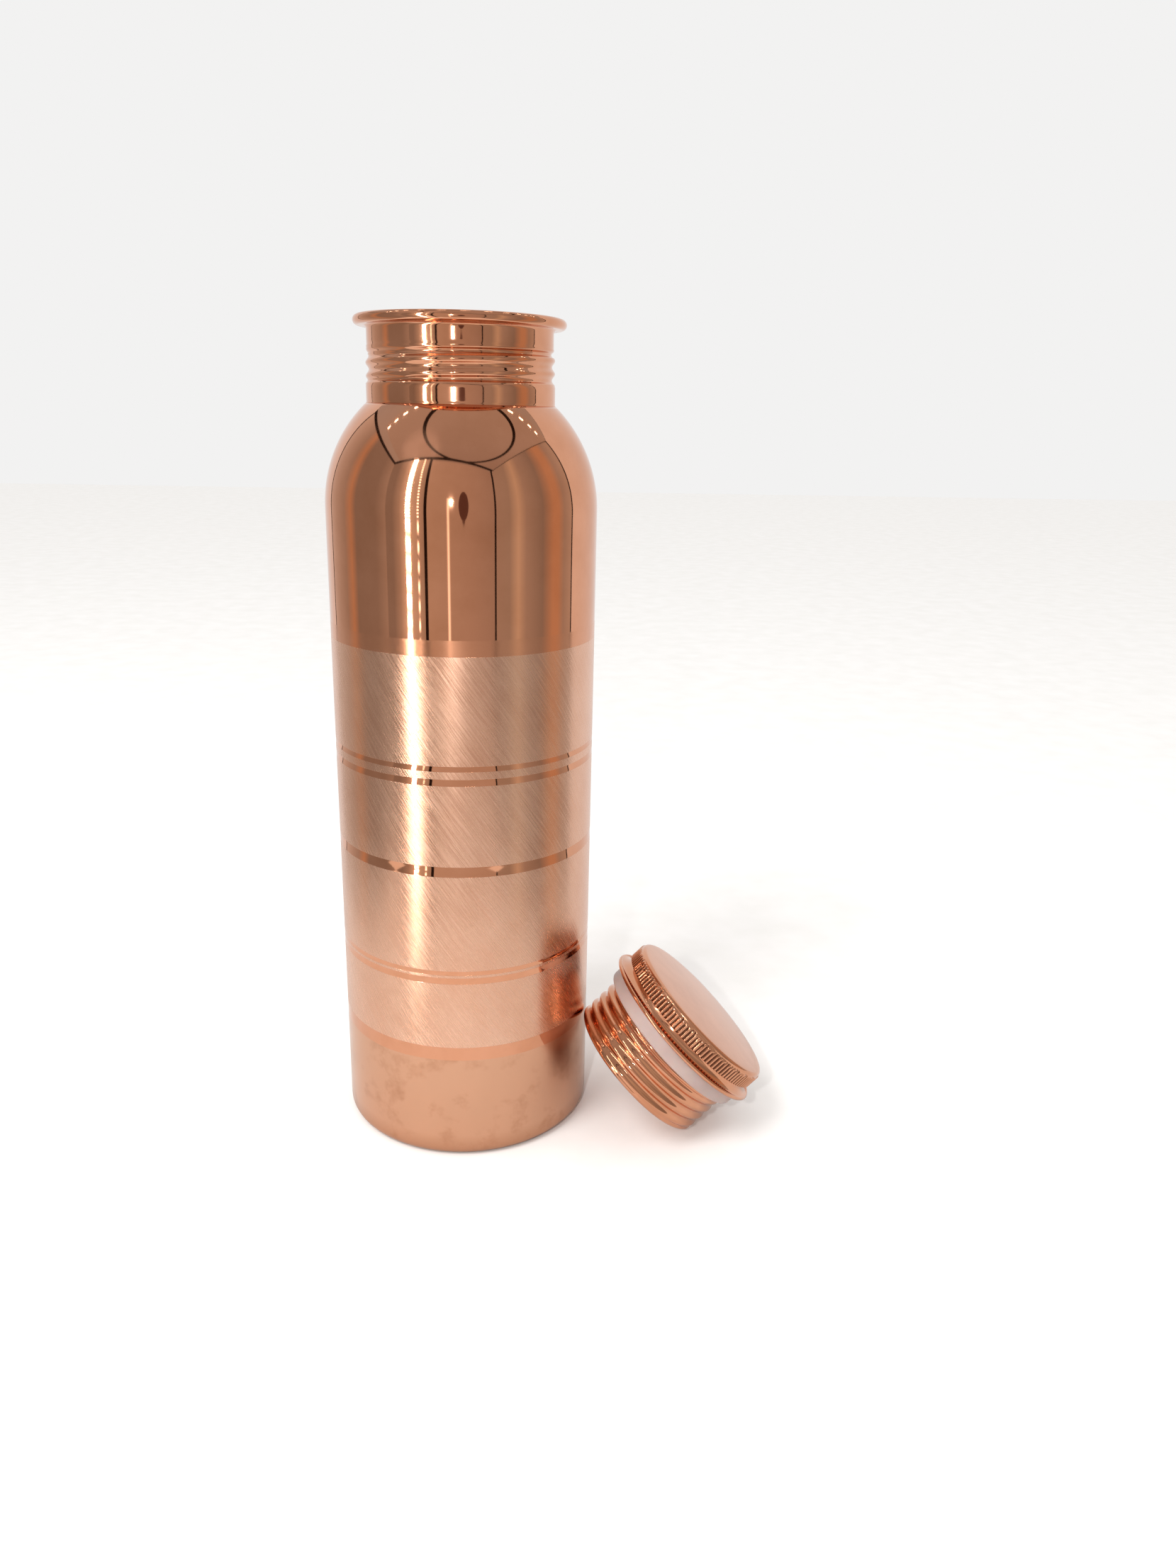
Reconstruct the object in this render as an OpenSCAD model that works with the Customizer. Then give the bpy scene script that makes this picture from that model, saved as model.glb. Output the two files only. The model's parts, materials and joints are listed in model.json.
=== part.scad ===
// Copper water bottle with its screw cap lying beside it, leaning on the wall.
// Origin: centre of the base, on the surface that the bottle stands on. +Z is up the bottle.

/* [Body] */
// Outside diameter of the body
body_d = 75; // [60:0.5:90]
// Height of the straight wall, up to where the dome starts
straight_h = 184.7; // [140:0.1:240]
// Thickness of the copper sheet
sheet = 0.6; // [0.5:0.05:0.9]
// Outside radius of the rounded bottom edge
edge_r = 3; // [2:0.1:5]
// Width of the flat that the bottom edge turns in beyond its round
turn_in = 1.6; // [1:0.1:3]
// Depth of the polished rings turned into the wall
ring_depth = 0.15; // [0.05:0.01:0.25]
// Height of each polished ring above the base
ring_heights = [57.5, 59.9, 90.5, 116.1, 119.9];
// Width of each polished ring, in the same order
ring_widths = [1.9, 1.3, 3.0, 1.9, 1.5];

/* [Neck] */
// Outside diameter of the dome where the neck is brazed on
seam_d = 51.4; // [50:0.1:54]
// Outside diameter of the plain collar at the foot of the neck
collar_d = 50.8; // [50.2:0.1:53]
// Height of the plain collar
collar_h = 6; // [4:0.1:8]
// Diameter of the bore at the mouth
bore_d = 48.6; // [48:0.05:49]
// Height of the whole neck, from the seam to the top of the lip
neck_h = 22.1; // [20:0.1:28]
// Outside diameter of the rolled lip
lip_d = 56.7; // [54:0.1:60]
// Thickness of the rolled lip
lip_t = 2.7; // [2.2:0.1:4]
// Rise of the thread in one turn, on the neck and on the plug
pitch = 3.35; // [3:0.05:4]
// Turns of thread rolled into the neck
neck_turns = 2.5; // [2:0.5:3]
// Depth of the rolled thread, from ridge to valley
thread_depth = 0.8; // [0.6:0.05:1]

/* [Cap] */
// Diameter over the thread ridges of the plug
plug_d = 48.2; // [47.6:0.05:48.3]
// Length of the plug, from its closed end to the underside of the flange
plug_len = 19.7; // [18:0.1:24]
// Radius of the rounded edge at the plug's closed end
plug_edge_r = 1.6; // [1:0.1:3]
// Turns of thread on the plug
plug_turns = 3.5; // [3:0.5:4]
// Thickness of the silicone gasket
gasket_t = 4.7; // [3:0.1:5]
// Outside diameter of the gasket
gasket_d = 51.8; // [51:0.1:54]
// Outside diameter of the flange
flange_d = 57; // [55:0.1:60]
// Thickness of the flange's rolled rim
flange_t = 1.3; // [1.1:0.1:2]
// Height of the waist between the flange and the knurled crown
waist_h = 2.3; // [2:0.1:4]
// Diameter of the waist at its narrowest
waist_d = 51; // [50.4:0.1:52]
// Outside diameter of the knurled crown
crown_d = 52.8; // [52.4:0.1:56]
// Height of the crown, from its lower edge to its rounded top edge
crown_h = 5.6; // [5.6:0.1:8]
// Radius of the crown's top edge
crown_edge_r = 1.2; // [0.8:0.1:1.2]
// How far the top of the crown is domed
crown_dome = 0.7; // [0.3:0.1:2]
// Number of grooves in the knurl
knurl_count = 126; // [100:2:160]
// Depth of the knurl grooves
knurl_depth = 0.3; // [0.1:0.05:0.35]
// Height of the knurled band, from the crown's lower edge
knurl_h = 4.4; // [3:0.1:4.4]

/* [Resting place of the cap] */
// How far the cap's axis leans from upright
cap_lean = 45; // [40:1:50]
// Distance of the plug's closed end to the side of the bottle's axis
cap_x = 51.6; // [51.6:0.1:60]
// Distance of the plug's closed end towards the front
cap_y = -19.2; // [-22:0.1:-17]
// Gap left under the cap
floor_gap = 0.05; // [0.02:0.01:0.1]

/* [Hidden] */
$fn = 96;

COPPER = [0.78, 0.50, 0.37];
POLISHED = [0.90, 0.62, 0.48];
SILICONE = [0.88, 0.87, 0.86];

body_r = body_d / 2;
seam_r = seam_d / 2;
collar_r = collar_d / 2;
bore_r = bore_d / 2;
lip_r = lip_d / 2;
dome_h = sqrt(body_r * body_r - seam_r * seam_r);
seam_z = straight_h + dome_h;
lip_z = seam_z + neck_h;
// Points on one turn of thread, and on each round edge
wave_steps = 8;
arc_steps = 6;
// The neck's threaded stretch, between the collar and the plain mouth
thread_z0 = seam_z + collar_h;
thread_z1 = thread_z0 + neck_turns * pitch;
mouth_r = bore_r + sheet;

plug_r = plug_d / 2;
plug_root_r = plug_r - thread_depth;
seat_r = plug_root_r + 0.3;
thread_s0 = plug_edge_r + 0.4;
thread_s1 = thread_s0 + plug_turns * pitch;
gasket_s1 = plug_len - 0.1;
gasket_s0 = gasket_s1 - gasket_t;
gasket_gap = 0.08;
flange_r = flange_d / 2;
waist_r = waist_d / 2;
crown_r = crown_d / 2;
waist_s0 = plug_len + flange_t;
crown_s0 = waist_s0 + waist_h;
crown_s1 = crown_s0 + crown_h;
// The plug's wall ends inside the crown
plug_top = crown_s0 + 1.6;

// Height of the plug's closed end that puts its lowest edge on the floor
cap_z = (plug_r - plug_edge_r) * sin(cap_lean) - plug_edge_r * cos(cap_lean) + plug_edge_r + floor_gap;

// Points on an arc about c, from angle a0 to a1
function arc(c, r, a0, a1) = [
    for (i = [0:arc_steps])
        let (a = a0 + (a1 - a0) * i / arc_steps)
            [c[0] + r * cos(a), c[1] + r * sin(a)]
];

// Points up a rolled thread of mean radius r, from z0 through a number of turns.
// A side of 1 starts at a ridge, and a side of -1 at a valley.
function wave(r, z0, turns, side) = [
    for (i = [0:turns * wave_steps])
        [r + side * thread_depth / 2 * cos(360 * i / wave_steps), z0 + pitch * i / wave_steps]
];

function flipped(points) = [for (i = [len(points) - 1:-1:0]) points[i]];

// Shallow ring turned into the outside of the wall
function ring_points(z, w) = [
    [body_r, z - w / 2],
    [body_r - ring_depth, z - w / 4],
    [body_r - ring_depth, z + w / 4],
    [body_r, z + w / 2]
];

// Drawn wall, spun dome and turned-in bottom edge, all one sheet
module body_shell() {
    rings = [for (i = [0:len(ring_heights) - 1]) each ring_points(ring_heights[i], ring_widths[i])];
    outline = concat(
        [[body_r - edge_r - turn_in, 0]],
        arc([body_r - edge_r, edge_r], edge_r, -90, 0),
        rings,
        [[body_r, straight_h], [0, straight_h], [0, sheet], [body_r - edge_r - turn_in, sheet]]
    );
    color(COPPER)
        union() {
            difference() {
                rotate_extrude()
                    polygon(outline);
                translate([0, 0, edge_r])
                    cylinder(r = body_r - sheet, h = straight_h);
                rotate_extrude()
                    polygon(concat(
                        [[0, -1], [body_r - edge_r - turn_in, -1], [body_r - edge_r - turn_in, sheet]],
                        arc([body_r - edge_r, edge_r], edge_r - sheet, -90, 0),
                        [[0, edge_r]]
                    ));
            }
            difference() {
                translate([0, 0, straight_h])
                    sphere(r = body_r);
                translate([0, 0, straight_h])
                    sphere(r = body_r - sheet);
                translate([0, 0, straight_h - body_d])
                    cylinder(r = body_d, h = body_d);
                translate([0, 0, seam_z])
                    cylinder(r = body_d, h = body_d);
            }
        }
}

// Joggled disc brazed into the bottom, flush with the turned-in edge
module base_plate() {
    well_r = body_r - edge_r - turn_in;
    color(COPPER)
        union() {
            cylinder(r = well_r, h = sheet * 2);
            translate([0, 0, sheet])
                cylinder(r = well_r + turn_in, h = sheet);
        }
}

// Collar, rolled thread and rolled lip, brazed on top of the dome
module neck_ring() {
    thread_r = mouth_r - 0.05;
    round_r = lip_t / 2;
    outside = concat(
        [[collar_r, seam_z], [collar_r, thread_z0 - pitch / 4]],
        wave(thread_r, thread_z0 + pitch / 4, neck_turns - 0.5, -1),
        [[mouth_r, thread_z1 + pitch / 4], [mouth_r, lip_z - lip_t - 0.6], [mouth_r + 0.6, lip_z - lip_t]],
        arc([lip_r - round_r, lip_z - round_r], round_r, -90, 90)
    );
    inside = concat(
        [[collar_r - sheet, seam_z], [collar_r - sheet, thread_z0 - pitch / 4]],
        wave(thread_r - sheet, thread_z0 + pitch / 4, neck_turns - 0.5, -1),
        [[bore_r, thread_z1 + pitch / 4]],
        arc([bore_r + round_r, lip_z - round_r], round_r, 180, 90)
    );
    color(POLISHED)
        rotate_extrude()
            polygon(concat(outside, flipped(inside)));
}

// Puts a piece made upright, with the plug's closed end at the origin, in the cap's resting place
module leaning() {
    translate([cap_x, cap_y, cap_z])
        rotate([0, cap_lean, 0])
            children();
}

module gasket() {
    soft_r = 0.8;
    color(SILICONE)
        leaning()
            rotate_extrude()
                polygon(concat(
                    [[seat_r + gasket_gap, gasket_s0]],
                    arc([gasket_d / 2 - soft_r, gasket_s0 + soft_r], soft_r, -90, 0),
                    arc([gasket_d / 2 - soft_r, gasket_s1 - soft_r], soft_r, 0, 90),
                    [[seat_r + gasket_gap, gasket_s1]]
                ));
}

// Closed cup with the rolled thread, standing up through the collar
module cap_plug() {
    wall = wave(plug_r - thread_depth / 2, thread_s0, plug_turns, 1);
    // The inside follows the thread from the first slope
    inner = [for (i = [2:len(wall) - 1]) [wall[i][0] - sheet, wall[i][1]]];
    color(POLISHED)
        leaning()
            rotate_extrude()
                polygon(concat(
                    [[0, 0]],
                    arc([plug_r - plug_edge_r, plug_edge_r], plug_edge_r, -90, 0),
                    wall,
                    [[seat_r, thread_s1 + 0.4], [seat_r, plug_top], [seat_r - sheet, plug_top]],
                    [[seat_r - sheet, thread_s1 + 0.4]],
                    flipped(inner),
                    [[plug_r - thread_depth - sheet, plug_edge_r + sheet]],
                    [[plug_r - plug_edge_r - sheet, sheet], [0, sheet]]
                ));
}

// Flange with a rolled rim and the waist above it, brazed round the plug
module cap_collar() {
    rim_r = flange_t / 2;
    hollow_r = 2.6;
    color(POLISHED)
        leaning()
            rotate_extrude()
                polygon(concat(
                    [[seat_r, plug_len]],
                    arc([flange_r - rim_r, plug_len + rim_r], rim_r, -90, 90),
                    arc([waist_r + hollow_r, waist_s0 + hollow_r - 0.2], hollow_r, 265, 200),
                    [[waist_r, crown_s0], [waist_r, plug_top], [waist_r - sheet, plug_top]],
                    [[waist_r - sheet, waist_s0], [seat_r, waist_s0 - 0.3]]
                ));
}

// Pressed cup with a knurled side, pushed down over the waist
module cap_crown() {
    knurl_s1 = crown_s0 + knurl_h;
    // The plain edge above the knurl is just inside the bottoms of the grooves
    top_r = crown_r - knurl_depth - 0.1;
    color(POLISHED)
        leaning()
            union() {
                translate([0, 0, crown_s0])
                    linear_extrude(knurl_h)
                        difference() {
                            polygon([
                                for (i = [0:2 * knurl_count - 1])
                                    let (a = 180 * i / knurl_count, r = crown_r - knurl_depth * (i % 2))
                                        [r * cos(a), r * sin(a)]
                            ]);
                            circle(r = waist_r);
                        }
                rotate_extrude()
                    polygon(concat(
                        [[waist_r, knurl_s1], [top_r, knurl_s1]],
                        arc([top_r - crown_edge_r, crown_s1 - crown_edge_r], crown_edge_r, 0, 80),
                        [[0, crown_s1 + crown_dome], [0, crown_s1 + crown_dome - sheet]],
                        [[crown_r - crown_edge_r - sheet, crown_s1 - sheet], [waist_r, knurl_s1]]
                    ));
            }
}

body_shell();
base_plate();
neck_ring();
gasket();
cap_plug();
cap_collar();
cap_crown();
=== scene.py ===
import json
import math

import bmesh
import bpy
from mathutils import Matrix, Vector


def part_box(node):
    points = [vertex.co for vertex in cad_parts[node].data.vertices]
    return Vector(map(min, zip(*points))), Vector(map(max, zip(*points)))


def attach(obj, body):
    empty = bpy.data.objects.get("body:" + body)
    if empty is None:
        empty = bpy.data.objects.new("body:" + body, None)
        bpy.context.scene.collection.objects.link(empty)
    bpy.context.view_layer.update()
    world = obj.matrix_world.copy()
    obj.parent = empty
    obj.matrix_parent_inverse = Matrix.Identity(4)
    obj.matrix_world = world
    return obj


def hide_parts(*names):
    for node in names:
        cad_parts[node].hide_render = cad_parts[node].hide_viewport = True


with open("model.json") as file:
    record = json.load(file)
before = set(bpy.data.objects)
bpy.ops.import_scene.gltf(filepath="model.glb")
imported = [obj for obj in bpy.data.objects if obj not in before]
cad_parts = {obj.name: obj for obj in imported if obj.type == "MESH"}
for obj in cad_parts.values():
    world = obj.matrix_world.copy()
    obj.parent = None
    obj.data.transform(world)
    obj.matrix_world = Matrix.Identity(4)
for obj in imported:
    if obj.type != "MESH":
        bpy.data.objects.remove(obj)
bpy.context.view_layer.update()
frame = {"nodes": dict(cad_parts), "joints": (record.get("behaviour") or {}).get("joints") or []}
scene = bpy.context.scene
print("frame loaded:", len(frame["nodes"]), "nodes")

mm = 0.001
fullTurn = 2 * math.pi


def rgb(hexCode):
    # sRGB hex to the linear values that the shaders want
    parts = [int(hexCode[i:i + 2], 16) / 255 for i in (1, 3, 5)]
    return tuple(p / 12.92 if p <= 0.04045 else ((p + 0.055) / 1.055) ** 2.4 for p in parts) + (1,)


def arc(centreRadius, centreHeight, radius, startDeg, endDeg, steps=8):
    # points along part of a circle in an outline
    angles = [math.radians(startDeg + (endDeg - startDeg) * i / steps) for i in range(steps + 1)]
    return [(centreRadius + radius * math.cos(a), centreHeight + radius * math.sin(a)) for a in angles]


def ladder(radius, low, high, step):
    # points up a straight wall
    count = max(1, round((high - low) / step))
    return [(radius, low + (high - low) * i / count) for i in range(count + 1)]


def lathe(outline, turns):
    # spins a closed outline of (radius, height) points, in millimetres, into a closed shell
    bm = bmesh.new()
    ring = [bm.verts.new((r * mm, 0, z * mm)) for r, z in outline]
    edges = [bm.edges.new((ring[i], ring[i - 1])) for i in range(len(ring))
             if outline[i][0] > 0 or outline[i - 1][0] > 0]
    bmesh.ops.spin(bm, geom=ring + edges, cent=(0, 0, 0), axis=(0, 0, 1), dvec=(0, 0, 0),
                   angle=fullTurn, steps=turns, use_merge=True, use_duplicate=False)
    bmesh.ops.remove_doubles(bm, verts=bm.verts, dist=1e-7)
    bmesh.ops.recalc_face_normals(bm, faces=bm.faces)
    return bm


def rollThread(bm, shape, fade, reach):
    # presses a right-hand helix into every wall along the thread that lies outside reach
    low, high = shape["threadLow"], shape["threadHigh"]
    for v in bm.verts:
        r, z = math.hypot(v.co.x, v.co.y) / mm, v.co.z / mm
        if r < reach or not low < z < high:
            continue
        turn = (z - shape["ridgeAt"]) / shape["pitch"] - math.atan2(v.co.y, v.co.x) / fullTurn
        ease = min(1, (z - low) / fade, (high - z) / fade)
        ease = ease * ease * (3 - 2 * ease)
        sink = shape["depth"] * ease * (0.5 - 0.5 * math.cos(fullTurn * turn))
        v.co.x *= 1 - sink / r
        v.co.y *= 1 - sink / r


def piece(bm, name, body, node, material, place=None):
    if place:
        bmesh.ops.transform(bm, matrix=place, verts=bm.verts)
    mesh = bpy.data.meshes.new(name)
    for face in bm.faces:
        face.smooth = True
    bm.to_mesh(mesh)
    bm.free()
    mesh.materials.append(material)
    made = bpy.data.objects.new(name, mesh)
    scene.collection.objects.link(made)
    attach(made, body)
    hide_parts(node)
    return made


def newMaterial(name):
    m = bpy.data.materials.new(name)
    m.use_nodes = True
    m.node_tree.nodes.clear()
    return m.node_tree


def add(tree, kind, *feeds, out=None, stops=(), **settings):
    # one node: feeds go to its inputs in order, lower-case settings to its properties and the
    # rest to the inputs of that name. stops are a colour ramp's, each a place with a colour or
    # a number. It gives back the output named out, or else the first one
    node = tree.nodes.new("ShaderNode" + kind)
    for key, value in settings.items():
        if key[0].islower():
            setattr(node, key, value)
    fed = list(zip([s for s in node.inputs if s.enabled], feeds))
    fed += [(node.inputs[key.replace("_", " ")], v) for key, v in settings.items() if key[0].isupper()]
    for socket, value in fed:
        if isinstance(value, bpy.types.NodeSocket):
            tree.links.new(value, socket)
        else:
            socket.default_value = value
    if stops:
        elements = node.color_ramp.elements
        while len(elements) < len(stops):
            elements.new(1)
        for element, stop in zip(elements, stops):
            element.position = stop[0]
        for element, (_, tone) in zip(elements, stops):
            element.color = tone if isinstance(tone, tuple) else (tone, tone, tone, 1)
    return node.outputs[out] if out else next((s for s in node.outputs if s.enabled), None)


# place in millimetres, turns in degrees
camera = {"place": (0, -332.2, 210.6), "down": 17.77, "right": 6.33, "roll": 1.27, "lens": 26.54}

camData = bpy.data.cameras.new("camera")
camData.sensor_width = 36
camData.lens = camera["lens"]
camObject = bpy.data.objects.new("camera", camData)
scene.collection.objects.link(camObject)
camObject.matrix_world = (
    Matrix.Translation(Vector(camera["place"]) * mm)
    @ Matrix.Rotation(-math.radians(camera["right"]), 4, "Z")
    @ Matrix.Rotation(math.radians(90 - camera["down"]), 4, "X")
    @ Matrix.Rotation(math.radians(camera["roll"]), 4, "Z")
)
scene.camera = camObject
scene.view_settings.view_transform = "Standard"

copper = {
    "face": "#E3A482",       # clean copper, as polished
    "deep": "#D59673",       # where it has been handled and has darkened a little
    "brushed": "#EBBDA3",    # fresh metal that the brush has opened
    "brushedDeep": "#E0AD91",
    "low": "#DBA98A",        # half-polished metal at the foot
    "stainAndShade": "#A0623C",      # water marks near the base, and painted shade at the very foot
    "groove": "#5A3424",     # painted shade for the bottoms of the knurl
}


# Polished copper: buffed to a mirror on the wheel, with hair scratches and faint finger smears
def polishedCopper(name, axis=(0, 0, 1), shine=0.06, grooves=False):
    tree = newMaterial(name)
    place = add(tree, "TexCoord", out="Object")
    # smears about 17 mm across
    smear = add(tree, "TexNoise", Vector=place, Scale=60.0, Detail=4.0, Roughness=0.55)
    colour = add(tree, "ValToRGB", smear, stops=[(0.35, rgb(copper["deep"])), (0.62, rgb(copper["face"]))])
    haze = add(tree, "ValToRGB", smear, stops=[(0.45, shine), (0.75, shine * 1.8)])
    if grooves:
        # painted shade: the bottoms of the knurl are darkened, as if shadowed
        depth = add(tree, "Attribute", attribute_name="groove", out="Fac")
        grooveShade = add(tree, "ValToRGB", depth, stops=[(0.2, 0.0), (0.75, 0.95)])
        colour = add(tree, "Mix", grooveShade, colour, rgb(copper["groove"]), data_type="RGBA")
    # hair lines, about 0.3 mm apart
    hair = add(tree, "TexNoise", Vector=place, Scale=3300.0, Detail=2.0)
    bump = add(tree, "Bump", Strength=0.03, Distance=0.00003, Height=hair)
    # the buff runs round the piece, so its gloss is drawn out along the piece's own axis
    shader = add(tree, "BsdfPrincipled", Base_Color=colour, Metallic=1.0, Roughness=haze, Normal=bump,
                 Anisotropic=0.6, Tangent=add(tree, "CombineXYZ", *axis))
    add(tree, "OutputMaterial", Surface=shader)
    return bpy.data.materials[name]


# Body copper: one sheet with three finishes by height. Mirror above, slanting hand-brushed satin with
# polished rings in the middle, half-polished and water-marked at the foot, darkened there by painted shade
bodyLook = {
    "foot": 32.2, "satinLow": 36.3, "satinHigh": 150.1, "hazeHigh": 154.4,
    "rings": [(57.5, 1.9), (59.9, 1.3), (90.5, 3.0), (116.1, 1.9), (119.9, 1.5)],   # height and width
    "satin": 0.27, "mirror": 0.05, "haze": 0.2, "half": 0.17,                       # roughness
    "smoothest": 0.025,
    "strokeSlant": 18.6,             # radians a metre: strokes fall to the right at 55 degrees
    "strokeScale": (2500, 2500, 110),    # strokes 0.4 mm wide and 9 mm long
    "driftScale": (900, 900, 60),        # broader unevenness, 1.1 mm by 17 mm
    "footShadeHeight": 7, "footShadeDepth": 0.55,
}


def inBand(tree, value, low, high):
    # 1 where value lies between low and high, in millimetres
    return add(tree, "Math", value, (low + high) / 2 * mm, (high - low) / 2 * mm, operation="COMPARE")


def bodyCopper(name):
    look = bodyLook
    tree = newMaterial(name)
    place = add(tree, "TexCoord", out="Object")
    z = add(tree, "SeparateXYZ", place, out="Z")
    # turned about the bottle's axis as it rises, so that a stroke runs slanting
    angle = add(tree, "Math", z, look["strokeSlant"], operation="MULTIPLY")
    turned = add(tree, "VectorRotate", Vector=place, Angle=angle, rotation_type="Z_AXIS")

    isHalf = inBand(tree, z, -1, look["foot"])
    isHaze = inBand(tree, z, look["satinHigh"], look["hazeHigh"])
    isSatin = inBand(tree, z, look["satinLow"], look["satinHigh"])
    for height, width in look["rings"]:
        ring = inBand(tree, z, height - width / 2, height + width / 2)
        isSatin = add(tree, "Math", isSatin, ring, operation="SUBTRACT")
    finish = look["mirror"]
    for zone, value in ((isHalf, look["half"]), (isHaze, look["haze"]), (isSatin, look["satin"])):
        finish = add(tree, "Math", zone, value - look["mirror"], finish, operation="MULTIPLY_ADD")

    # the real strokes are finer; these are as coarse as they need to be to show
    along = add(tree, "Mapping", Vector=turned, Scale=look["strokeScale"])
    strokes = add(tree, "TexNoise", Vector=along, Scale=1.0, Detail=2.0, Roughness=0.6)
    wide = add(tree, "Mapping", Vector=turned, Scale=look["driftScale"])
    drift = add(tree, "TexNoise", Vector=wide, Scale=1.0, Detail=2.0)
    # smears about 22 mm across, water marks about 9 mm
    smear = add(tree, "TexNoise", Vector=place, Scale=45.0, Detail=5.0, Roughness=0.6)
    blot = add(tree, "TexNoise", Vector=place, Scale=110.0, Detail=6.0, Roughness=0.65)

    clean = add(tree, "ValToRGB", smear, stops=[(0.3, rgb(copper["deep"])), (0.6, rgb(copper["face"]))])
    smeared = add(tree, "Math", smear, 0.6, operation="MULTIPLY")
    opened = add(tree, "Math", strokes, 0.4, smeared, operation="MULTIPLY_ADD")
    brushed = add(tree, "ValToRGB", opened, stops=[
        (0.38, rgb(copper["brushedDeep"])), (0.6, rgb(copper["brushed"]))])
    colour = add(tree, "Mix", isSatin, clean, brushed, data_type="RGBA")
    colour = add(tree, "Mix", isHalf, colour, rgb(copper["low"]), data_type="RGBA")
    blots = add(tree, "ValToRGB", blot, stops=[(0.52, 0.0), (0.74, 0.42)])
    marks = add(tree, "Math", blots, isHalf, operation="MULTIPLY")
    colour = add(tree, "Mix", marks, colour, rgb(copper["stainAndShade"]), data_type="RGBA")
    # painted shade: the lowest part is darkened towards the floor
    footShade = add(tree, "Math", z, -1 / (look["footShadeHeight"] * mm), 1.0, operation="MULTIPLY_ADD")
    footShade = add(tree, "Math", footShade, 0.0, operation="MAXIMUM")
    footShade = add(tree, "Math", footShade, look["footShadeDepth"], operation="MULTIPLY")
    colour = add(tree, "Mix", footShade, colour, rgb(copper["stainAndShade"]), data_type="RGBA")

    # strokes and smears make the finish uneven
    strokeShift = add(tree, "Math", strokes, 0.5, operation="SUBTRACT")
    strokeDepth = add(tree, "Math", isSatin, 0.25, operation="MULTIPLY")
    uneven = add(tree, "Math", strokeShift, strokeDepth, operation="MULTIPLY")
    smearShift = add(tree, "Math", smear, 0.5, operation="SUBTRACT")
    hazy = add(tree, "Math", smearShift, 0.06, operation="MULTIPLY")
    rough = add(tree, "Math", finish, uneven, operation="ADD")
    rough = add(tree, "Math", rough, hazy, operation="ADD")
    rough = add(tree, "Math", rough, look["smoothest"], operation="MAXIMUM")
    height = add(tree, "Math", drift, 0.5, strokes, operation="MULTIPLY_ADD")
    height = add(tree, "Math", height, isSatin, operation="MULTIPLY")
    bump = add(tree, "Bump", Strength=0.5, Distance=0.00006, Height=height)
    shader = add(tree, "BsdfPrincipled", Base_Color=colour, Metallic=1.0, Roughness=rough, Normal=bump,
                 Anisotropic=0.65, Tangent=add(tree, "CombineXYZ", 0, 0, 1))
    add(tree, "OutputMaterial", Surface=shader)
    return bpy.data.materials[name]


# Silicone: moulded, milky and slightly see-through, with a dull skin
def siliconeWhite(name):
    tree = newMaterial(name)
    place = add(tree, "TexCoord", out="Object")
    # clouds about 11 mm across, skin grain 0.4 mm
    cloud = add(tree, "TexNoise", Vector=place, Scale=90.0, Detail=3.0)
    colour = add(tree, "ValToRGB", cloud, stops=[(0.3, rgb("#A18C86")), (0.7, rgb("#B09B94"))])
    grain = add(tree, "TexNoise", Vector=place, Scale=2500.0, Detail=2.0)
    bump = add(tree, "Bump", Strength=0.15, Distance=0.00004, Height=grain)
    shader = add(tree, "BsdfPrincipled", Base_Color=colour, Roughness=0.42, Normal=bump,
                 Subsurface_Weight=0.35, Subsurface_Scale=0.003)
    add(tree, "OutputMaterial", Surface=shader)
    return bpy.data.materials[name]


mirrorCopper = polishedCopper("mirror_polished_copper")
capTilt = (math.sqrt(0.5), 0, math.sqrt(0.5))
capCopper = polishedCopper("mirror_polished_copper_cap", capTilt)
knurledCopper = polishedCopper("knurled_copper", capTilt, 0.09, True)
satinCopper = bodyCopper("brushed_and_polished_copper")
plainCopper = polishedCopper("plain_copper_sheet", shine=0.22)
silicone = siliconeWhite("milky_silicone")
print("materials made")

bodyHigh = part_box("body_shell")[1]
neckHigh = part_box("neck_ring")[1]

bottle = {
    "radius": bodyHigh.x / mm, "seamHeight": bodyHigh.z / mm, "seamRadius": 25.7, "sheet": 0.6,
    "edge": 3.0, "turnIn": 1.6, "ringDepth": 0.02, "ringBorder": 0.25, "ringSteps": 6, "turns": 256,
}


def makeBody():
    radius, sheet, edge = bottle["radius"], bottle["sheet"], bottle["edge"]
    rise = math.sqrt(radius * radius - bottle["seamRadius"] ** 2)
    shoulder = bottle["seamHeight"] - rise
    well = radius - edge - bottle["turnIn"]
    border, steps = bottle["ringBorder"], bottle["ringSteps"]

    # up the outside from the turned-in edge, over the rings, to the seam of the neck
    outline = [(well, 0)] + arc(radius - edge, edge, edge, -90, 0, 10)
    for height, width in bodyLook["rings"]:
        low, high = height - width / 2, height + width / 2
        outline += [(radius, low - border), (radius, low)]
        outline += [(radius - bottle["ringDepth"] * math.sin(math.pi * k / steps), low + width * k / steps)
                    for k in range(1, steps)]
        outline += [(radius, high), (radius, high + border)]
    outline += arc(0, shoulder, radius, 0, math.degrees(math.asin(rise / radius)), 40)
    # and down the inside
    inside = radius - sheet
    outline += arc(0, shoulder, inside, math.degrees(math.asin(rise / inside)), 0, 24)
    outline += arc(radius - edge, edge, edge - sheet, 0, -90, 6) + [(well, sheet)]
    bm = lathe(outline, bottle["turns"])
    return piece(bm, "bottle_body", "bottle", "body_shell", satinCopper)


neck = {
    "collar": 25.4, "bore": 24.3, "wall": 24.9, "lipRadius": neckHigh.x / mm, "lipThick": 2.7,
    "lipBend": 1.0, "top": neckHigh.z / mm, "pitch": 3.35, "depth": 0.8, "ridgeAt": 220.5,
    "threadLow": 217.0, "threadHigh": 226.4, "threadFade": 1.2, "threadInside": 20, "turns": 256,
}


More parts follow.
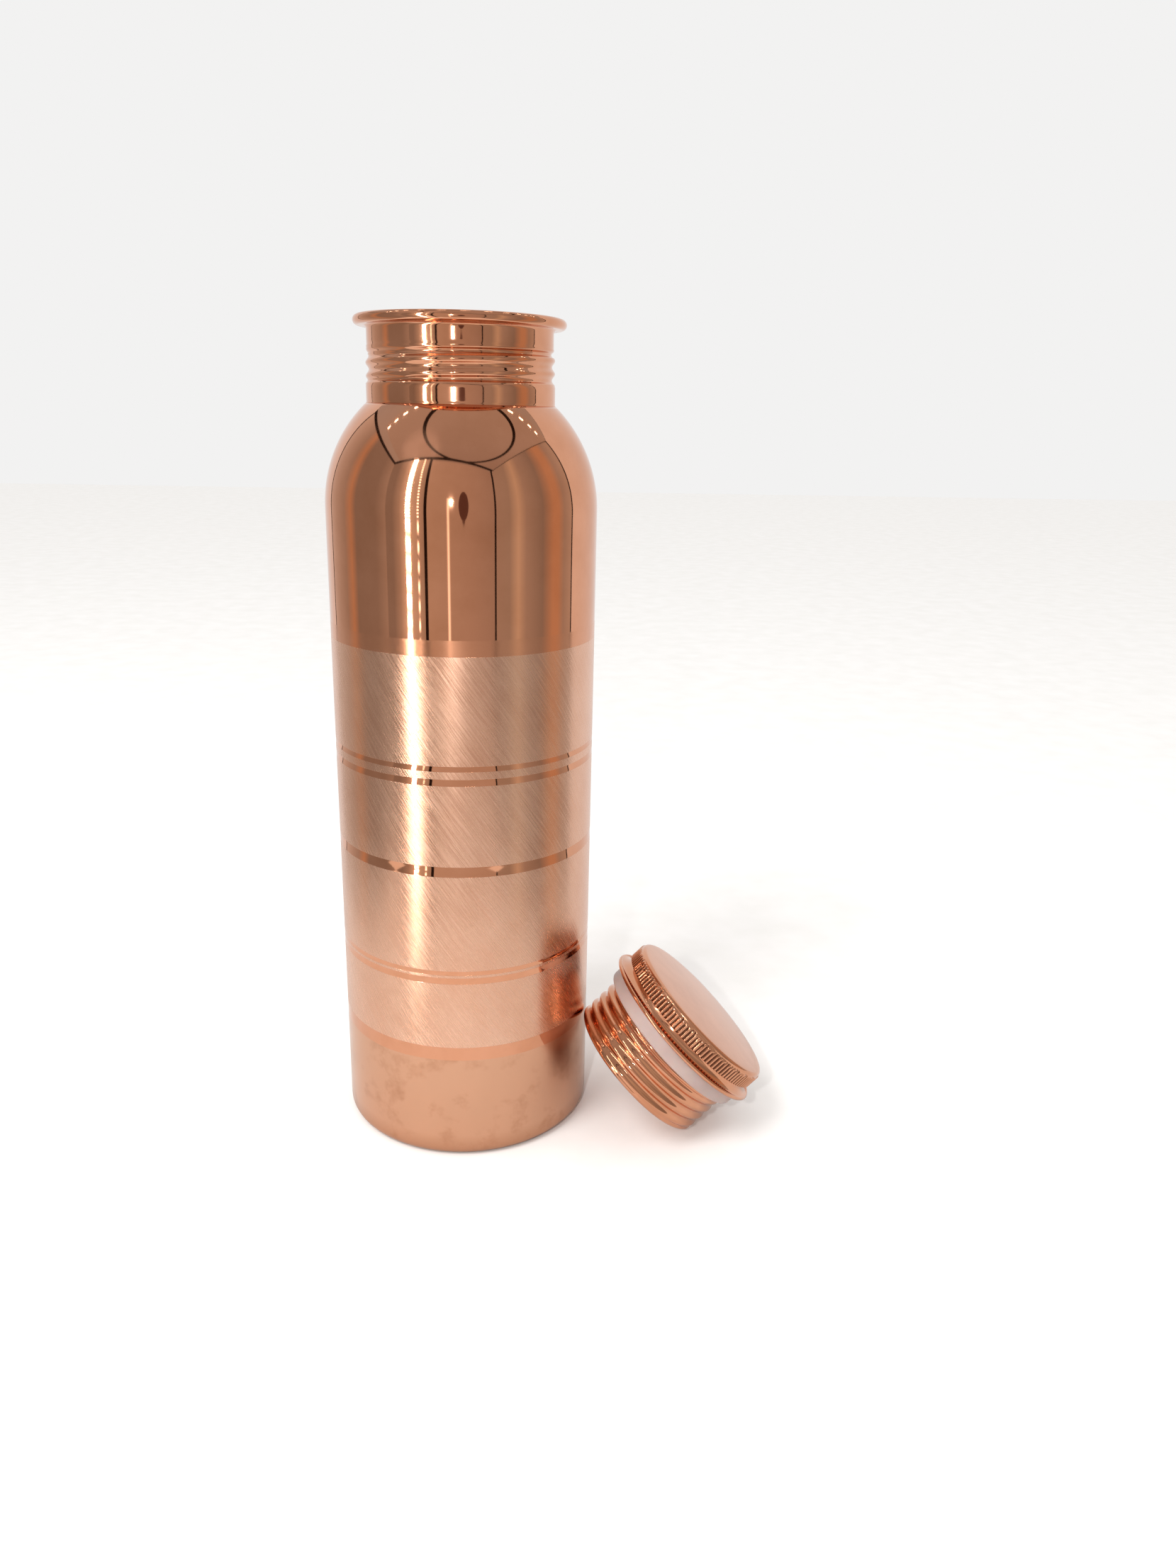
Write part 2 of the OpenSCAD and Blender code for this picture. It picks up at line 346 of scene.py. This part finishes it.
def makeNeck():
    seam, sheet, top = bottle["seamHeight"], bottle["sheet"], neck["top"]
    collar, wall, lipBend = neck["collar"], neck["wall"], neck["lipBend"]
    threadLow, threadHigh = neck["threadLow"], neck["threadHigh"]
    half = neck["lipThick"] / 2
    under = top - neck["lipThick"]
    bend = under - 0.9

    # up the outside: braze, collar, thread, wall and the rolled lip
    outer = [(collar + 0.2, seam), (collar, seam + 0.35)]
    outer += ladder(collar, seam + 1, threadLow, 1)
    outer += ladder(collar - 0.1, threadLow + 0.15, threadHigh - 2.0, 0.16)
    outer += ladder(wall + 0.1, threadHigh - 1.8, threadHigh, 0.2)
    outer += ladder(wall, threadHigh + 0.3, bend, 0.8)
    outer += arc(wall + lipBend, bend, lipBend, 180, 100, 6)
    outer += arc(neck["lipRadius"] - half, top - half, half, -90, 90, 12)
    # and down the inside, one sheet in from the wall
    inner = arc(neck["bore"] + half, top - half, half, 90, 180, 8)
    inside = [(r - sheet, z) for r, z in outer if 1 < z - seam and z < under - 0.8 and r < collar + 0.1]
    inner += [(max(r, neck["bore"]) if z > threadHigh else r, z) for r, z in reversed(inside)]
    inner += [(collar - sheet, seam)]
    bm = lathe(outer + inner, neck["turns"])
    rollThread(bm, neck, neck["threadFade"], neck["threadInside"])
    return piece(bm, "bottle_neck", "bottle", "neck_ring", mirrorCopper)


makeBody()
makeNeck()
frame["nodes"]["base_plate"].data.materials.clear()
frame["nodes"]["base_plate"].data.materials.append(plainCopper)
print("bottle made")

capTurn = next(j for j in frame["joints"] if j["name"] == "cap_turn")
capAxis = Vector(capTurn["axis"]).normalized()
capPlace = (Matrix.Translation(Vector(capTurn["pos_m"]))
            @ Matrix.Rotation(math.atan2(capAxis.x, capAxis.z), 4, "Y"))

# heights are from the closed end of the plug
cap = {
    "plug": 24.1, "root": 23.3, "seat": 23.6, "plugLength": 19.7, "plugTop": 24.8, "edge": 1.6,
    "sheet": 0.6, "pitch": 3.35, "depth": 0.8, "ridgeAt": 3.16, "threadLow": 0.9, "threadHigh": 14.2,
    "threadFade": 1.0, "turns": 256,
    "gasketLow": 14.9, "gasketHigh": 19.6, "gasket": 25.9, "gasketSoft": 0.8, "gasketGap": 0.08,
    "gasketTurns": 192,
    "flange": 28.5, "rim": 0.65, "waist": 25.5, "waistCurve": 2.6, "waistTop": 23.3, "collarTop": 24.9,
    "crown": 26.4, "crownLow": 23.3, "crownEdge": 1.2, "crownHigh": 28.9, "dome": 0.7, "domeSteps": 14,
    "knurls": 126, "knurlSteps": 6, "knurlDepth": 0.4, "knurlHigh": 27.7, "knurlRagged": 0.35,
    "knurlFade": 0.5, "top": 26.05,
}


def makePlug():
    plug, seat, sheet, edge = cap["plug"], cap["seat"], cap["sheet"], cap["edge"]
    threadHigh = cap["threadHigh"]
    outer = [(r, 0) for r in (0, 6, 12, 17, 20)]
    outer += arc(plug - edge, edge, edge, -90, 0, 10)
    outer += ladder(plug, edge + 0.15, threadHigh - 0.2, 0.16)
    outer += [(seat, threadHigh + 0.2), (seat, 20), (seat, cap["plugTop"])]
    inner = [(seat - sheet, cap["plugTop"])]
    inner += ladder(cap["root"] - sheet, threadHigh, edge + 0.4, 0.8)
    inner += [(cap["root"] - edge, sheet), (0, sheet)]
    bm = lathe(outer + inner, cap["turns"])
    rollThread(bm, cap, cap["threadFade"], cap["root"] + 0.1)
    return piece(bm, "cap_threaded_plug", "cap", "cap_plug", capCopper, place=capPlace)


def makeGasket():
    outside, low, high = cap["gasket"], cap["gasketLow"], cap["gasketHigh"]
    soft, inside = cap["gasketSoft"], cap["seat"] + cap["gasketGap"]
    outline = [(inside, low + 0.1)]
    outline += arc(outside - soft, low + soft, soft, -90, 0, 6)
    outline += arc(outside - soft, high - soft, soft, 0, 90, 6)
    outline += [(inside, high)]
    bm = lathe(outline, cap["gasketTurns"])
    return piece(bm, "silicone_gasket", "seal", "gasket", silicone, place=capPlace)


def makeCollar():
    seat, waist, rim, low = cap["seat"], cap["waist"], cap["rim"], cap["plugLength"]
    curve, inside = cap["waistCurve"], cap["waist"] - 0.6
    outline = [(seat, low)] + arc(cap["flange"] - rim, low + rim, rim, -90, 90, 12)
    outline += arc(waist + curve, low + 2 * rim + 2.4, curve, 265, 200, 12)
    outline += [(waist, cap["waistTop"]), (waist, cap["collarTop"]), (inside, cap["collarTop"])]
    outline += [(inside, low + 2 * rim), (seat, low + 1)]
    bm = lathe(outline, cap["turns"])
    return piece(bm, "cap_flange_collar", "cap", "cap_collar", capCopper, place=capPlace)


def makeCrown():
    crown, low, waist, edge = cap["crown"], cap["crownLow"], cap["waist"], cap["crownEdge"]
    knurls, knurlHigh, steps = cap["knurls"], cap["knurlHigh"], cap["domeSteps"]
    top = cap["crownHigh"] + cap["dome"]
    outline = [(waist, low), (crown - 0.15, low), (crown, low + 0.15)]
    outline += ladder(crown, low + 0.6, knurlHigh - 0.2, 0.8)
    outline += arc(cap["top"] - edge, knurlHigh, edge, 0, 84, 10)
    # the dome is a shallow arc of a big circle
    rimRadius, rimHeight = outline[-1]
    outline += [(rimRadius * (1 - k / steps), top - (top - rimHeight) * (1 - k / steps) ** 2)
                for k in range(1, steps + 1)]
    outline += [(0, top - 0.6), (waist - 1.0, cap["crownHigh"] - 0.7), (waist, knurlHigh)]
    bm = lathe(outline, knurls * cap["knurlSteps"])

    groove = bm.verts.layers.float.new("groove")
    for v in bm.verts:
        r, z = math.hypot(v.co.x, v.co.y) / mm, v.co.z / mm
        if r < crown - 0.7 or z < low - 0.01 or r < waist + 0.3:
            continue
        phase = math.atan2(v.co.y, v.co.x) / fullTurn * knurls
        # each groove runs out at its own height
        ragged = cap["knurlRagged"] * math.sin(2.3 * round(phase)) * math.sin(0.7 * round(phase))
        fade = max(0, min(1, (knurlHigh + ragged - z) / cap["knurlFade"]))
        v[groove] = fade * (0.5 - 0.5 * math.cos(fullTurn * phase)) ** 1.2
        sink = cap["knurlDepth"] * v[groove]
        v.co.x *= 1 - sink / r
        v.co.y *= 1 - sink / r
    return piece(bm, "cap_knurled_crown", "cap", "cap_crown", knurledCopper, place=capPlace)


makePlug()
makeGasket()
makeCollar()
makeCrown()
print("cap made")

# the studio, in metres. Only reflections see the tent and its lamps
studio = {
    "floorSize": 6.0, "floorDrop": 0.0001, "height": 0.345,
    "frontRight": (0.112, -0.243), "backRight": (0.202, 0.02),
    "backLeft": (-0.16, 0.133), "frontLeft": (-0.243, -0.133),
    "openingEnd": 0.58,              # how far along the front the opening reaches
    "roomOut": 1.03, "sillHeight": 0.085,
    "seam": 0.008, "seamIn": 0.99, "roofSeamIn": 0.985, "roofSeamDrop": 0.002,
    "hole": (0.02, -0.1, 0.1), "holeDrop": 0.003,         # the round hole in the roof: middle and radius
    "strips": [(0.628, 0.642, 6), (0.7, 0.745, 30)],      # place along the front, and brightness
    "stripIn": 0.98, "stripLamps": 44,
    "barLeft": -0.15, "barLong": 0.3, "barLamps": 13, "barLamp": (0.01, 0.008), "barPower": 14,
    "barDrop": 0.004,
    "oval": (0.002, -0.19, 0.205), "ovalHalf": (0.012, 0.034),
    "streak": ((-0.043, -0.2), (-0.033, -0.2)), "streakTop": 0.225, "streakPower": 2.2,
    "floorShade": 0.28, "skyInGloss": -0.52, "skyInCamera": -0.11,
    "skyTint": (1, 0.995, 0.99, 1),  # linear, because hex has no step this fine
}


def glow(name, stops, strength=1.0, dots=0):
    # a cloth or a lamp that shines by itself: its tone changes along its length
    tree = newMaterial(name)
    uv = add(tree, "TexCoord", out="UV")
    tone = add(tree, "ValToRGB", add(tree, "SeparateXYZ", uv, out="X"), stops=stops)
    power = strength
    if dots:
        up = add(tree, "Math", add(tree, "SeparateXYZ", uv, out="Y"), math.pi * dots, operation="MULTIPLY")
        wave = add(tree, "Math", up, operation="SINE")
        wave = add(tree, "Math", wave, operation="ABSOLUTE")
        wave = add(tree, "Math", wave, 3.0, operation="POWER")
        power = add(tree, "Math", wave, strength, operation="MULTIPLY")
    add(tree, "OutputMaterial", Surface=add(tree, "Emission", Color=tone, Strength=power))
    return bpy.data.materials[name]


def reflected(name, bm, material):
    # a thing of the studio that only reflections see
    mesh = bpy.data.meshes.new(name)
    bm.to_mesh(mesh)
    bm.free()
    mesh.materials.append(material)
    made = bpy.data.objects.new(name, mesh)
    scene.collection.objects.link(made)
    made.visible_camera = made.visible_diffuse = made.visible_shadow = False
    made.visible_transmission = made.visible_volume_scatter = False


def panel(name, start, end, low, high, material, roofDepth=None):
    # an upright cloth from start to end, or a flat one where roofDepth gives its other side
    first, last = Vector((*start, low)), Vector((*end, low))
    up = Vector((*roofDepth, 0)) if roofDepth else Vector((0, 0, high - low))
    along, middle = last - first, (first + last) / 2 + up / 2
    bm = bmesh.new()
    bm.loops.layers.uv.new("UVMap")
    bmesh.ops.create_grid(bm, x_segments=1, y_segments=1, size=0.5, calc_uvs=True)
    place = Matrix((
        (along.x, up.x, 0, middle.x), (along.y, up.y, 0, middle.y), (along.z, up.z, 1, middle.z),
        (0, 0, 0, 1)))
    bmesh.ops.transform(bm, matrix=place, verts=bm.verts)
    reflected(name, bm, material)


def between(start, end, share):
    return (start[0] + (end[0] - start[0]) * share, start[1] + (end[1] - start[1]) * share)


corners = [studio[k] for k in ("frontRight", "backRight", "backLeft", "frontLeft")]
frontRight, backRight, backLeft, frontLeft = corners
opening = between(frontRight, frontLeft, studio["openingEnd"])
roof = studio["height"]
lampWhite = rgb("#FFFAF3")


def makeTent():
    grey = rgb("#B1AAA4")
    dim = rgb("#99938E")
    warm = rgb("#CBAA8E")
    pale = rgb("#EFEDEC")
    panel("tent_right", frontRight, backRight, 0, roof, glow("tent_right_cloth", [
        (0.0, grey), (0.22, rgb("#ADA8A2")), (0.33, rgb("#D4CBBC")), (0.42, grey),
        (0.6, dim), (0.72, warm), (0.78, warm), (0.86, grey), (1.0, rgb("#C5BFB8"))]))
    panel("tent_left", frontLeft, backLeft, 0, roof, glow("tent_left_cloth", [
        (0.0, grey), (0.2, dim), (0.5, dim), (0.58, warm), (0.68, grey), (1.0, rgb("#DAD4CE"))]))
    panel("tent_back", backRight, backLeft, 0, roof, glow("tent_back_cloth", [(0, pale), (1, pale)]))
    panel("tent_front_left", opening, frontLeft, 0, roof, glow("tent_front_cloth", [
        (0, grey), (0.38, rgb("#F9EFE2")), (0.55, rgb("#BCB3AA")), (0.75, dim)]))
    top = glow("tent_top_cloth", [(0, rgb("#AAA29E")), (1, rgb("#BCB5AF"))])
    panel("tent_top", frontRight, backRight, roof, roof, top,
          roofDepth=(frontLeft[0] - frontRight[0], 0))
    # the room in front, through the tent's opening
    out = studio["roomOut"]
    room = glow("room_in_front", [(0, rgb("#ADA29B")), (0.45, rgb("#BCAFA6")), (1, rgb("#CBC0B6"))])
    panel("room_in_front", Vector(frontRight) * out, Vector(opening) * out, 0, roof, room)
    sill = glow("front_sill", [(0, rgb("#C4B8AF")), (1, rgb("#D4CAC2"))])
    panel("front_sill", frontRight, opening, 0, studio["sillHeight"], sill)


def makeSeams():
    # dark piping where the cloths meet, upright, along the top and round the hole in the roof
    wide = studio["seam"]
    piping = rgb("#271D19")
    seam = glow("tent_seam", [(0, piping), (1, piping)])
    for k, corner in enumerate((frontRight, backRight, backLeft, opening)):
        place = Vector(corner) * studio["seamIn"]
        side = Vector((-place.y, place.x)).normalized() * wide / 2
        panel("seam_upright_%d" % k, place - side, place + side, 0, roof, seam)
    x, y, radius = studio["hole"]
    bm = bmesh.new()
    rim = [bm.verts.new((x + radius + step, y, roof - studio["holeDrop"])) for step in (-wide / 2, wide / 2)]
    edge = bm.edges.new(rim)
    bmesh.ops.spin(bm, geom=rim + [edge], cent=(x, y, 0), axis=(0, 0, 1), dvec=(0, 0, 0), angle=fullTurn,
                   steps=48, use_merge=True, use_duplicate=False)
    reflected("roof_hole", bm, seam)
    high = roof - studio["roofSeamDrop"]
    tops = [(frontRight, frontLeft), (frontRight, backRight), (backRight, backLeft), (frontLeft, backLeft)]
    for k, ends in enumerate(tops):
        start, end = (Vector(p) for p in ends)
        along = (end - start).normalized()
        panel("seam_top_%d" % k, start * studio["roofSeamIn"], end * studio["roofSeamIn"], high, high, seam,
              roofDepth=(along.y * wide * 1.5, -along.x * wide * 1.5))


def makeTentLamps():
    # a dark oval in front, where the one who looks at the bottle stands
    shade = rgb("#654B45")
    bm = bmesh.new()
    bmesh.ops.create_circle(bm, cap_ends=True, segments=32, radius=1)
    stand = Matrix.Translation(studio["oval"]) @ Matrix.Rotation(math.pi / 2, 4, "X")
    bmesh.ops.transform(bm, matrix=stand @ Matrix.Diagonal((*studio["ovalHalf"], 1, 1)), verts=bm.verts)
    reflected("dark_oval", bm, glow("dark_oval", [(0, shade), (1, shade)]))
    # the small front lamp smeared into an upright streak by the wheel marks
    ends = rgb("#7C736C")
    smear = glow("front_streak", [(0, ends), (0.5, lampWhite), (1, ends)], studio["streakPower"])
    panel("front_streak", *studio["streak"], 0, studio["streakTop"], smear)
    # rows of small lamps: two upright strips in front on the left, and a bar across the roof
    for k, (start, end, power) in enumerate(studio["strips"]):
        sides = [Vector(between(frontRight, frontLeft, s)) * studio["stripIn"] for s in (start, end)]
        strip = glow("lamp_strip_%d" % k, [(0, lampWhite), (1, lampWhite)], power, studio["stripLamps"])
        panel("lamp_strip_%d" % k, *sides, 0, roof, strip)
    bar = glow("lamp_bar", [(0, lampWhite), (1, lampWhite)], studio["barPower"], 1)
    high = roof - studio["barDrop"]
    long, deep = studio["barLamp"]
    for k in range(studio["barLamps"]):
        x = studio["barLeft"] + studio["barLong"] * k / (studio["barLamps"] - 1)
        panel("lamp_bar_%d" % k, (x, 0.0), (x + long, 0.0), high, high, bar, roofDepth=(0, deep))


# Paper: pale and matt, with a faint unevenness about 20 mm across
def makeFloor():
    tree = newMaterial("pale_paper")
    place = add(tree, "TexCoord", out="Object")
    fibre = add(tree, "TexNoise", Vector=place, Scale=50.0, Detail=3.0)
    tone = add(tree, "ValToRGB", fibre, stops=[(0.3, rgb("#F2F0ED")), (0.7, rgb("#F7F5F3"))])
    # the copper sees the paper in the tent's shade
    seen = add(tree, "LightPath", out="Is Glossy Ray")
    shaded = add(tree, "Math", seen, studio["floorShade"], operation="MULTIPLY")
    tone = add(tree, "Mix", shaded, tone, rgb("#000000"), data_type="RGBA")
    paper = add(tree, "BsdfPrincipled", Base_Color=tone, Roughness=0.9, Specular_IOR_Level=0.2)
    add(tree, "OutputMaterial", Surface=paper)

    mesh = bpy.data.meshes.new("floor")
    bm = bmesh.new()
    bmesh.ops.create_grid(bm, x_segments=1, y_segments=1, size=studio["floorSize"] / 2)
    bmesh.ops.translate(bm, vec=(0, 0, -studio["floorDrop"]), verts=bm.verts)
    bm.to_mesh(mesh)
    bm.free()
    mesh.materials.append(bpy.data.materials["pale_paper"])
    floor = bpy.data.objects.new("floor", mesh)
    scene.collection.objects.link(floor)


def makeSky():
    # dimmer where the copper mirrors it, because the tent stands in between
    sky = bpy.data.worlds.new("studio")
    scene.world = sky
    sky.use_nodes = True
    tree = sky.node_tree
    tree.nodes.clear()
    gloss = add(tree, "LightPath", out="Is Glossy Ray")
    direct = add(tree, "LightPath", out="Is Camera Ray")
    gloss = add(tree, "Math", gloss, studio["skyInGloss"], operation="MULTIPLY")
    direct = add(tree, "Math", direct, studio["skyInCamera"], operation="MULTIPLY")
    power = add(tree, "Math", gloss, direct, operation="ADD")
    power = add(tree, "Math", power, 1.0, operation="ADD")
    add(tree, "OutputWorld", Surface=add(tree, "Background", Color=studio["skyTint"], Strength=power))


lamps = {
    "soft_key": {"place": (-0.5, -0.5, 0.9), "aim": (0, 0, 0.1), "size": 0.5, "watts": 6},
    "front_spark": {"place": (-0.055, -0.35, 0.238), "aim": (0, 0, 0.15), "size": 0.014, "watts": 0.45},
}

makeTent()
makeSeams()
makeTentLamps()
makeFloor()
makeSky()
for name, lamp in lamps.items():
    light = bpy.data.lights.new(name, "AREA")
    light.shape = "DISK"
    light.size = lamp["size"]
    light.energy = lamp["watts"]
    made = bpy.data.objects.new(name, light)
    scene.collection.objects.link(made)
    made.location = lamp["place"]
    made.rotation_euler = (Vector(lamp["aim"]) - Vector(lamp["place"])).to_track_quat("-Z", "Y").to_euler()
    made.visible_camera = False
print("studio made")
